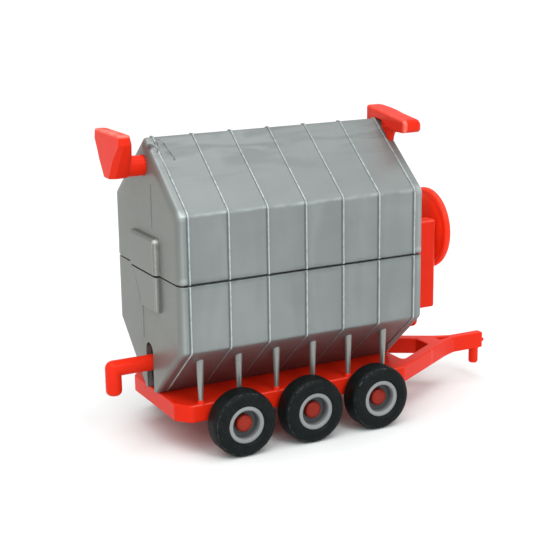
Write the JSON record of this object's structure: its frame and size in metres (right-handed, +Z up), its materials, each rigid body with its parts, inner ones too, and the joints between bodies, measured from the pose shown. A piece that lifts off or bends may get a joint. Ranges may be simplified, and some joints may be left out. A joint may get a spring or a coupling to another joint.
{
  "type": "toy portable grain dryer",
  "caption": "Toy portable grain dryer: a ribbed gable-roofed bin on a six-wheeled trailer chassis with drawbar, swivelling fill hopper, unloading auger, fan and cabinet.",
  "frame": {"origin": "on the ground under the tyres, below the middle of the whole object", "axes": "+X towards the hitch at the front of the drawbar, +Y to the far side away from the control cabinet, +Z up"},
  "size_m": [0.0984, 0.0406, 0.0688],
  "materials": {
    "silver_plastic": "satin moulded plastic, silver grey",
    "red_plastic": "semi-gloss moulded plastic, bright orange-red",
    "rim_plastic": "satin moulded plastic, light grey",
    "tyre_rubber": "satin black soft plastic or rubber"
  },
  "bodies": {
    "trailer": {"chassis": "red_plastic", "lower_body_shell": "silver_plastic", "upper_body_shell": "silver_plastic", "near_support_posts": "silver_plastic", "far_support_posts": "silver_plastic", "rear_axle": "red_plastic", "middle_axle": "red_plastic", "front_axle": "red_plastic", "fan_duct": "red_plastic", "fan_shroud": "red_plastic", "control_cabinet": "red_plastic", "drive_hood": "red_plastic"},
    "rear_near_wheel": {"rear_near_rim": "rim_plastic", "rear_near_tyre": "tyre_rubber"},
    "rear_far_wheel": {"rear_far_rim": "rim_plastic", "rear_far_tyre": "tyre_rubber"},
    "middle_near_wheel": {"middle_near_rim": "rim_plastic", "middle_near_tyre": "tyre_rubber"},
    "middle_far_wheel": {"middle_far_rim": "rim_plastic", "middle_far_tyre": "tyre_rubber"},
    "front_near_wheel": {"front_near_rim": "rim_plastic", "front_near_tyre": "tyre_rubber"},
    "front_far_wheel": {"front_far_rim": "rim_plastic", "front_far_tyre": "tyre_rubber"},
    "unload_auger": {"unload_auger_tube": "red_plastic", "discharge_spout": "red_plastic"},
    "fill_auger": {"fill_auger_tube": "red_plastic", "fill_hopper": "red_plastic"}
  },
  "joints": [
    {"name": "rear_near_wheel_spin", "type": "hinge", "parent": "trailer", "child": "rear_near_wheel", "pos_m": [-0.02583, -0.01755, 0.00715], "axis": [0, 1, 0], "continuous": true},
    {"name": "rear_far_wheel_spin", "type": "hinge", "parent": "trailer", "child": "rear_far_wheel", "pos_m": [-0.02583, 0.01755, 0.00715], "axis": [0, 1, 0], "continuous": true},
    {"name": "middle_near_wheel_spin", "type": "hinge", "parent": "trailer", "child": "middle_near_wheel", "pos_m": [-0.00932, -0.01755, 0.00715], "axis": [0, 1, 0], "continuous": true},
    {"name": "middle_far_wheel_spin", "type": "hinge", "parent": "trailer", "child": "middle_far_wheel", "pos_m": [-0.00932, 0.01755, 0.00715], "axis": [0, 1, 0], "continuous": true},
    {"name": "front_near_wheel_spin", "type": "hinge", "parent": "trailer", "child": "front_near_wheel", "pos_m": [0.0072, -0.01755, 0.00715], "axis": [0, 1, 0], "continuous": true},
    {"name": "front_far_wheel_spin", "type": "hinge", "parent": "trailer", "child": "front_far_wheel", "pos_m": [0.0072, 0.01755, 0.00715], "axis": [0, 1, 0], "continuous": true},
    {"name": "unload_auger_swivel", "type": "hinge", "parent": "trailer", "child": "unload_auger", "pos_m": [-0.00988, 0, 0.0174], "axis": [1, 0, 0], "range_deg": [-90, 90]},
    {"name": "fill_auger_swivel", "type": "hinge", "parent": "trailer", "child": "fill_auger", "pos_m": [-0.00988, 0, 0.06035], "axis": [1, 0, 0], "range_deg": [-90, 90]}
  ]
}
